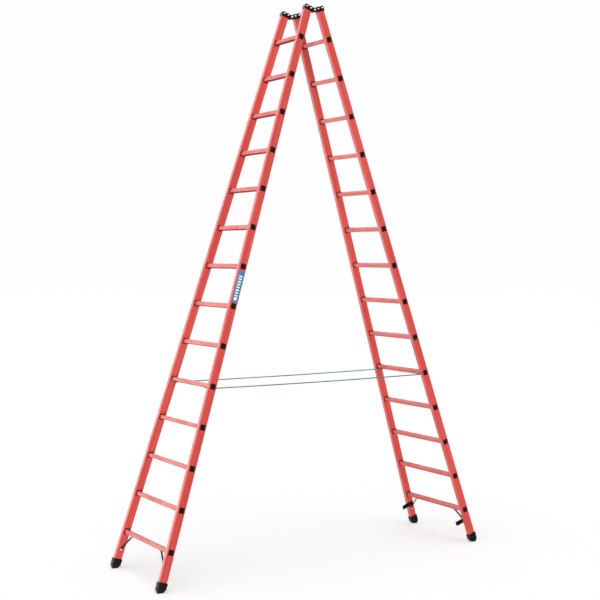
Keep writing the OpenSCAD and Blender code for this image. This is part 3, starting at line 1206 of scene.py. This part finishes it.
@dataclass
class ClosingGuides:
    """Bars on the right half's stiles that slide in beside the left half's as the ladder closes."""

    plan: LadderPlan
    reach: float = 60 * MM
    tail: float = 50 * MM
    height: float = 34 * MM
    thickness: float = 4 * MM
    spacer: float = 2.5 * MM
    drop: float = 86 * MM
    bend_radius: float = 10 * MM
    bolts: tuple[float, float] = (-16 * MM, 12 * MM)

    def build(self, coat: bpy.types.Material) -> None:
        """Makes both guides.

        Args:
            coat: Their finish.
        """
        tip, tail = -self.plan.stile_depth / 2 - self.reach, -self.plan.stile_depth / 2 + self.tail
        face = -self.plan.stile_thickness - self.spacer - self.thickness / 2
        corners = [Vector((tip, face - 5 * MM, 0)), Vector((tip + 16 * MM, face, 0)), Vector((tail, face, 0))]
        for end in End:
            level = Matrix.Translation((0, 0, self.plan.down(self.plan.drops[-1] + self.drop)))
            place = self.plan.stile(Side.RIGHT, end) @ level
            maker = Maker(f"closing_bar_{end.value}")
            route = soften(corners, self.bend_radius)
            maker.bar(route, Vector((0, 0, 1)), self.height, self.thickness, place, round_ends=False)
            pad = rounded_rectangle(self.tail - 8 * MM, self.height - 3 * MM, 3 * MM)
            start = -self.plan.stile_depth / 2 + (5 * MM + self.tail) / 2
            maker.slab([p.to_2d() for p in pad], 0.0, self.spacer + 0.6 * MM, 0.3 * MM,
                       place @ Matrix.Translation((start, -self.plan.stile_thickness, 0)) @ FACE_IN)
            maker.finish([coat], "right_half", "guide_metal", [f"closing_guide_{end.value}"])


@dataclass
class StrapClamps:
    """Pressed saddles that hold the strap ends under the tenth rungs, with the ends of webbing in them."""

    plan: LadderPlan
    straps: SpreadStraps
    rung: int = 10
    ear: float = 6 * MM
    plate: float = 2.4 * MM
    depth: float = 24 * MM
    bend_radius: float = 1.2 * MM
    stitch_rows: tuple[float, float] = (15 * MM, 21 * MM)
    stitch_pitch: float = 3.2 * MM

    def build(self, coat: bpy.types.Material, webbing: bpy.types.Material) -> None:
        """Makes the clamps and the stitched strap ends.

        Args:
            coat: Finish of the clamps.
            webbing: Finish of the strap ends.
        """
        under = -(self.plan.drops[self.rung - 1] + self.plan.rung_size / 2)
        half_width = self.straps.width / 2
        high, low = -self.plate / 2 - 0.1 * MM, -self.straps.thickness - self.plate / 2 - 0.4 * MM
        mid = self.plan.stile_mid
        corners = [Vector((mid, y, under + z)) for y, z in (
            (-half_width - self.ear, high), (-half_width - 0.8 * MM, high), (-half_width + 0.6 * MM, low),
            (half_width - 0.6 * MM, low), (half_width + 0.8 * MM, high), (half_width + self.ear, high))]
        stitch = [
            rounded_rectangle(0.8 * MM, 2.2 * MM, 0.3 * MM, level * MM, 2) for level in (-0.2, 0.2, 0.35)
        ]
        for side in Side:
            clamps, ends = Maker(f"strap_saddles_{side.value}"), Maker(f"strap_ends_{side.value}")
            for end in End:
                place = self.plan.half(side, end) @ Matrix.Translation((0, self.straps.offset, 0))
                route = soften(corners, self.bend_radius, 3)
                clamps.bar(route, Vector((1, 0, 0)), self.depth, self.plate, place, round_ends=False)
                # the webbing runs through the saddle and ends in a short stitched tail
                middle = under - self.straps.thickness / 2 - 0.05 * MM
                line = [Vector((x, 0, middle)) for x in
                        (mid - 13 * MM, mid, mid + 12 * MM, mid + 18 * MM, mid + self.straps.tail)]
                # slightly slimmer than the strap, so that its skin stays inside the strap's own
                slim = [Vector((0, c.x * 0.985, c.y * 0.9)) for c in self.straps.section()]
                ends.loft([[point + corner for corner in slim] for point in line], place)
                skin = middle - self.straps.thickness * self.straps.flat_share
                for row in self.stitch_rows:
                    for k in range(-6, 7):
                        spot = Matrix.Translation((mid + row, k * self.stitch_pitch, skin))
                        ends.loft(stitch, place @ spot @ POINT_DOWN)
            clamps.finish([coat], f"{side.value}_half", "clamp_metal", [f"strap_clamps_{side.value}"])
            ends.finish([webbing], f"{side.value}_half", "strap_webbing")


@dataclass
class Fasteners:
    """Pivot bolts, leaf bolts, brace bolts, guide bolts and rivets."""

    plan: LadderPlan
    leaves: HingeLeaves
    braces: CornerBraces
    guides: ClosingGuides
    clamps: StrapClamps
    bar: float = 4.1 * MM
    leaf_head: float = 6.5 * MM
    head_height: float = 4.5 * MM
    pivot: float = 5 * MM

    def pan_head(
        self, maker: Maker, place: Matrix, base: float, radius: float = 7 * MM, material: int = 0
    ) -> None:
        """Round head with a washer rim, a soft dome and a hexagon socket.

        Args:
            maker: The piece it is part of.
            place: Frame whose Z points out of the surface.
            base: Z of the surface it sits on.
            radius: Its radius.
            material: Index of the finish.
        """
        # shares of the radius and of the height, from the rim to the socket
        shape = ((1.0, 0.0), (1.0, 0.3), (0.96, 0.55), (0.84, 0.8), (0.66, 0.95), (0.5, 1.0),
                 (0.42, 1.0), (0.38, 0.9), (0.36, 0.55))
        profile = [(radius * wide, base + self.head_height * high) for wide, high in shape]
        maker.turned(profile, place, material=material)

    def leaf_nut(self, maker: Maker, place: Matrix) -> None:
        """Hexagon nut with chamfered corners and the bolt's end showing in it.

        Args:
            maker: The piece it is part of.
            place: Frame on the surface it sits on, with its Z pointing out.
        """
        radius, height, stem = 7.5 * MM, 6.5 * MM, 4 * MM
        maker.turned([(radius * 0.93, 0.0), (radius, 0.12 * height), (radius, 0.86 * height),
                      (radius * 0.9, height)], place, 6)
        maker.turned([(stem, height * 0.5), (stem, height + 1.6 * MM),
                      (stem * 0.82, height + 2.3 * MM)], place)

    def build(self, zinc: bpy.types.Material, coat: bpy.types.Material) -> list[bpy.types.Object]:
        """Makes every bolt, nut and rivet: bright zinc, or black on the closing guides.

        Args:
            zinc: Finish of the bright ones.
            coat: Finish of the black ones and of the hinge washers.

        Returns:
            The finished pieces.
        """
        made = self.pivots(zinc, coat)
        for side in Side:
            maker = Maker(f"bolts_{side.value}")
            for end in End:
                half, stile = self.plan.half(side, end), self.plan.stile(side, end)
                for x in self.leaves.bolt_places:
                    outer = half @ Matrix.Translation((x, self.leaves.outer, 0)) @ FACE_OUT
                    self.pan_head(maker, outer, 0.4 * MM, self.leaf_head)
                    inner = half @ Matrix.Translation((x, self.leaves.inner, 0)) @ FACE_IN
                    self.leaf_nut(maker, inner)
                self.low_bolts(maker, side, half, stile)
                self.rivets(maker, half)
            made.append(maker.finish(
                [zinc, coat], f"{side.value}_half", "bolt_steel", [f"fixing_bolts_{side.value}"]
            ))
        return made

    def low_bolts(self, maker: Maker, side: Side, half: Matrix, stile: Matrix) -> None:
        """Bolts of the brace at one stile's foot, and of the closing guide where there is one.

        Args:
            maker: The piece they are part of.
            side: Which half.
            half: The half's frame.
            stile: The stile's frame.
        """
        low, depth = self.plan.drops[-1], -self.plan.stile_thickness
        foot = Matrix.Translation((0, depth, self.plan.down(low + self.braces.drop)))
        self.pan_head(maker, stile @ foot @ FACE_IN, self.bar)
        head_y = self.plan.inner_y(low) - self.braces.reach - self.braces.tab / 2
        under = Matrix.Translation((self.plan.stile_mid, head_y, -(low + self.plan.rung_size / 2)))
        self.pan_head(maker, half @ under @ POINT_DOWN, self.bar)
        if side is Side.RIGHT:
            for x in self.guides.bolts:
                spot = Matrix.Translation((x, depth, self.plan.down(low + self.guides.drop)))
                self.pan_head(maker, stile @ spot @ FACE_IN, self.bar + self.guides.spacer, material=1)

    def rivets(self, maker: Maker, half: Matrix) -> None:
        """Two domed rivets through the ears of a strap clamp.

        Args:
            maker: The piece they are part of.
            half: The half's frame.
        """
        drop = self.plan.drops[self.clamps.rung - 1] + self.plan.rung_size / 2
        straps = self.clamps.straps
        for sign in (-1, 1):
            y = straps.offset + sign * (straps.width + self.clamps.ear) / 2
            place = half @ Matrix.Translation((self.plan.stile_mid, y, -drop)) @ POINT_DOWN
            maker.turned([(3.5 * MM, 2.6 * MM), (3.5 * MM, 3.4 * MM), (3.0 * MM, 4.2 * MM),
                          (1.9 * MM, 4.8 * MM), (0.6 * MM, 5.0 * MM)], place, 20)

    def pivots(self, zinc: bpy.types.Material, coat: bpy.types.Material) -> list[bpy.types.Object]:
        """Makes the two pivot bolts and their nuts, with black washers.

        Args:
            zinc: Finish of the bolts and nuts.
            coat: Finish of the washers.

        Returns:
            The bolts and the nuts.
        """
        bolts, nuts = Maker("hinge_bolts"), Maker("hinge_nuts")
        for end in End:
            hinge = Matrix.Diagonal((1, end.sign, 1, 1)) @ Matrix.Translation(self.plan.hinge)
            out = hinge @ Matrix.Translation((0, self.leaves.outer, 0)) @ FACE_OUT
            inward = hinge @ Matrix.Translation((0, self.leaves.inner, 0)) @ FACE_IN
            thickness = self.leaves.outer - self.leaves.inner
            washer, stem = self.pivot + 5.5 * MM, self.pivot
            bolts.turned([(stem * 0.8, -thickness - 11.5 * MM), (stem, -thickness - 10.5 * MM),
                          (stem, 0.5 * MM)], out)
            for maker, place in ((bolts, out), (nuts, inward)):
                maker.turned([(washer - 0.4 * MM, 0.0), (washer, 0.3 * MM), (washer, 1.7 * MM),
                              (washer - 0.4 * MM, 2 * MM)], place, 40, material=1)
            head, nut = self.pivot + 2.5 * MM, self.pivot + 4 * MM
            bolts.turned([(head, 2 * MM), (head, 6.2 * MM), (head * 0.9, 7 * MM), (head * 0.76, 7 * MM),
                          (head * 0.72, 6.7 * MM)], out, 6)
            nuts.turned([(nut * 0.93, 2 * MM), (nut, 3 * MM), (nut, 9 * MM), (nut * 0.9, 10 * MM)], inward, 6)
        return [bolts.finish([zinc, coat], "left_half", "bolt_steel", ["pivot_bolts"]),
                nuts.finish([zinc, coat], "left_half", "bolt_steel", ["pivot_nuts"])]


@dataclass
class StileLabel:
    """A plain blue sticker on the near left stile, with simple white blocks on it."""

    plan: LadderPlan
    top: float = 1938 * MM
    bottom: float = 2155 * MM
    left: float = -24 * MM
    right: float = 21 * MM
    film: float = 0.3 * MM

    def build(self, blue: bpy.types.Material, white: bpy.types.Material) -> None:
        """Makes the sticker.

        Args:
            blue: Finish of the sheet.
            white: Finish of the blocks.
        """
        maker = Maker("stile_label")
        length = self.bottom - self.top
        level = self.plan.down((self.top + self.bottom) / 2)
        middle = Matrix.Translation(((self.left + self.right) / 2, 0, level)) @ FACE_OUT
        # the sticker's X runs up the stile
        upright = Matrix.Rotation(math.radians(90), 4, "Z")
        place = self.plan.stile(Side.LEFT, End.NEAR) @ middle @ upright
        sheet = [p.to_2d() for p in rounded_rectangle(length, self.right - self.left, 3 * MM)]
        maker.slab(sheet, 0.02 * MM, self.film, 0.08 * MM, place)
        square = [p.to_2d() for p in rounded_rectangle(20 * MM, 22 * MM, 2 * MM)]
        blocks = [(84 * MM, square)]
        bar = [p.to_2d() for p in rounded_rectangle(9 * MM, 25 * MM, 1.5 * MM)]
        blocks += [((-74 + 19.5 * k) * MM, bar) for k in range(8)]
        for x, shape in blocks:
            maker.slab(shape, self.film - 0.05 * MM, self.film + 0.12 * MM, 0.03 * MM,
                       place @ Matrix.Translation((x, 0, 0)), material=1)
        maker.finish([blue, white], "left_half", "stile_grp")


# --------------------------------------------------------------------------- the studio


@dataclass(frozen=True)
class Lamp:
    """A broad, distant studio light."""

    name: str
    towards: tuple[float, float, float]
    energy: float
    spread: float
    gloss_only: bool = False


@dataclass
class Studio:
    """Pale floor and surround, soft light and the camera."""

    white: float = 0.99
    wash_part: float = 0.34
    room_part: float = 0.3
    floor_grey: float = 0.888
    floor_reach: float = 60.0
    lens: float = 71.31
    camera_place: tuple[float, float, float] = (-4.5893, -7.2991, 2.2070)
    camera_pitch: float = 3.928
    camera_yaw: float = -32.08
    camera_shift: float = 0.0584

    def camera(self) -> None:
        """Places the camera."""
        data = bpy.data.cameras.new("camera")
        data.lens, data.sensor_width, data.shift_y = self.lens, 36.0, self.camera_shift
        data.clip_end = 200.0
        camera = bpy.data.objects.new("camera", data)
        camera.location = self.camera_place
        camera.rotation_euler = (math.radians(90 - self.camera_pitch), 0, math.radians(self.camera_yaw))
        bpy.context.scene.collection.objects.link(camera)
        bpy.context.scene.camera = camera
        # white stays white and thin webbing keeps its colour against it
        bpy.context.scene.view_settings.view_transform = "Standard"

    def glowing(self, name: str, strength: float, diffuse: bool) -> bpy.types.Material:
        """A pale surface that is lit evenly from within, and also takes shadows where it is diffuse.

        Args:
            name: The material's name.
            strength: How bright it is of itself.
            diffuse: Whether it also takes light and shadow.

        Returns:
            The material.
        """
        material = bpy.data.materials.new(name)
        material.use_nodes = True
        tree = material.node_tree
        tree.nodes.clear()
        where = add_node(tree, "ShaderNodeTexCoord").outputs["Object"]
        patches = {"Vector": where, "Scale": 0.6, "Detail": 2.0}
        mottle = add_node(tree, "ShaderNodeTexNoise", patches).outputs[0]
        # a mottle of 0.2%, as on painted paper
        spread = {"Value": mottle, "To Min": strength * 0.998, "To Max": strength * 1.002}
        level = add_node(tree, "ShaderNodeMapRange", spread).outputs["Result"]
        glow = {"Color": linear("FFFFFF"), "Strength": level}
        surface = add_node(tree, "ShaderNodeEmission", glow).outputs[0]
        if diffuse:
            grey = (self.floor_grey, self.floor_grey, self.floor_grey, 1.0)
            matt = add_node(tree, "ShaderNodeBsdfDiffuse", {"Color": grey})
            surface = add_node(tree, "ShaderNodeAddShader", {0: surface, 1: matt.outputs[0]}).outputs[0]
        add_node(tree, "ShaderNodeOutputMaterial", {"Surface": surface})
        return material

    def surround(self) -> bpy.types.Object:
        """Makes the floor and the dome round it, which the camera sees but which don't light the ladder.

        Returns:
            The floor.
        """
        floor, dome = bmesh.new(), bmesh.new()
        bmesh.ops.create_grid(floor, x_segments=2, y_segments=2, size=self.floor_reach)
        bmesh.ops.create_uvsphere(dome, u_segments=48, v_segments=24, radius=self.floor_reach)
        own = self.white - self.wash_part - self.room_part
        made = []
        plan = (("floor", floor, own, True), ("surround", dome, self.white, False))
        for name, bm, strength, diffuse in plan:
            mesh = bpy.data.meshes.new(name)
            bm.to_mesh(mesh)
            bm.free()
            mesh.materials.append(self.glowing(f"{name}_white", strength, diffuse))
            thing = bpy.data.objects.new(name, mesh)
            bpy.context.scene.collection.objects.link(thing)
            thing.visible_diffuse = thing.visible_glossy = thing.visible_shadow = False
            made.append(thing)
        return made[0]

    def room(self) -> None:
        """Makes the dim room, brighter overhead than underneath so that undersides stay dark."""
        world = bpy.data.worlds.new("studio")
        world.use_nodes = True
        tree = world.node_tree
        where = add_node(tree, "ShaderNodeTexCoord").outputs["Generated"]
        height = add_node(tree, "ShaderNodeSeparateXYZ", {"Vector": where}).outputs["Z"]
        level = add_node(tree, "ShaderNodeMapRange", {
            "Value": height, "From Min": -0.3, "From Max": 0.5, "To Min": 0.03, "To Max": 0.4,
        }).outputs["Result"]
        tree.links.new(level, tree.nodes["Background"].inputs["Strength"])
        tree.nodes["Background"].inputs["Color"].default_value = linear("FFFFFF")
        bpy.context.scene.world = world

    def lights(self, floor: bpy.types.Object, bolts: Sequence[bpy.types.Object]) -> None:
        """Makes the key light from the near left, the panels that give gloss, and the floor's wash.

        Args:
            floor: The floor, which only the wash lights.
            bolts: The bright fasteners, which have a reflector card of their own.
        """
        wash = self.wash_part * math.pi / self.floor_grey
        self.lamp(Lamp("key_light", (0.64, 0.765, 0.06), 4.4, 36), [floor], "EXCLUDE")
        self.lamp(Lamp("back_panel", (0.25, -0.88, -0.32), 5.2, 90, gloss_only=True), [floor], "EXCLUDE")
        self.lamp(Lamp("low_back_panel", (0.40, -0.84, 0.37), 0.9, 60, gloss_only=True), [floor], "EXCLUDE")
        self.lamp(Lamp("bolt_card", (-0.53, 0.85, 0.07), 1.7, 100, gloss_only=True), bolts, "INCLUDE")
        self.lamp(Lamp("floor_wash", (0.30, 0.20, -1.0), wash, 75), [floor], "INCLUDE")

    def lamp(self, lamp: Lamp, things: Sequence[bpy.types.Object], state: str) -> None:
        """Puts up one lamp.

        Args:
            lamp: The lamp.
            things: Pieces that its reach names.
            state: "INCLUDE" where it lights only those, "EXCLUDE" where it lights all but those.
        """
        data = bpy.data.lights.new(lamp.name, "SUN")
        data.energy, data.angle = lamp.energy, math.radians(lamp.spread)
        light = bpy.data.objects.new(lamp.name, data)
        light.rotation_euler = Vector(lamp.towards).to_track_quat("-Z", "Y").to_euler()
        bpy.context.scene.collection.objects.link(light)
        light.visible_diffuse = not lamp.gloss_only
        reach = bpy.data.collections.new(f"{lamp.name}_reach")
        for thing in things:
            reach.objects.link(thing)
        light.light_linking.receiver_collection = reach
        for entry in reach.collection_objects:
            entry.light_linking.link_state = state


def main() -> None:
    """Builds the camera and straps first, then the rest of the ladder and the studio."""
    logging.basicConfig(level=logging.INFO, format="%(name)s: %(message)s")
    studio = Studio()
    studio.camera()
    webbing = WovenPolyester("teal_webbing").material()
    straps = SpreadStraps()
    straps.build(webbing)
    plan = LadderPlan()
    nylon = MouldedNylon("black_nylon").material()
    coat = PowderCoat("black_powder_coat").material()
    zinc = ZincPlate("zinc_plate").material()
    leaves = HingeLeaves(plan)
    StileAndRungFinish(plan).build()
    RungEnds(plan).build(nylon)
    leaves.build(coat)
    braces, guides = CornerBraces(plan), ClosingGuides(plan)
    clamps = StrapClamps(plan, straps)
    bolts = Fasteners(plan, leaves, braces, guides, clamps).build(zinc, coat)
    RubberBoots(plan).build(MouldedRubber("black_rubber").material())
    braces.build(GalvanisedSteel("weathered_zinc").material())
    guides.build(coat)
    clamps.build(coat, webbing)
    white = VinylFilm("white_film", base="F4F6F8", rubbed="DCE6EE").material()
    StileLabel(plan).build(VinylFilm("blue_film").material(), white)
    studio.room()
    studio.lights(studio.surround(), bolts)


if __name__ == "__main__":
    main()
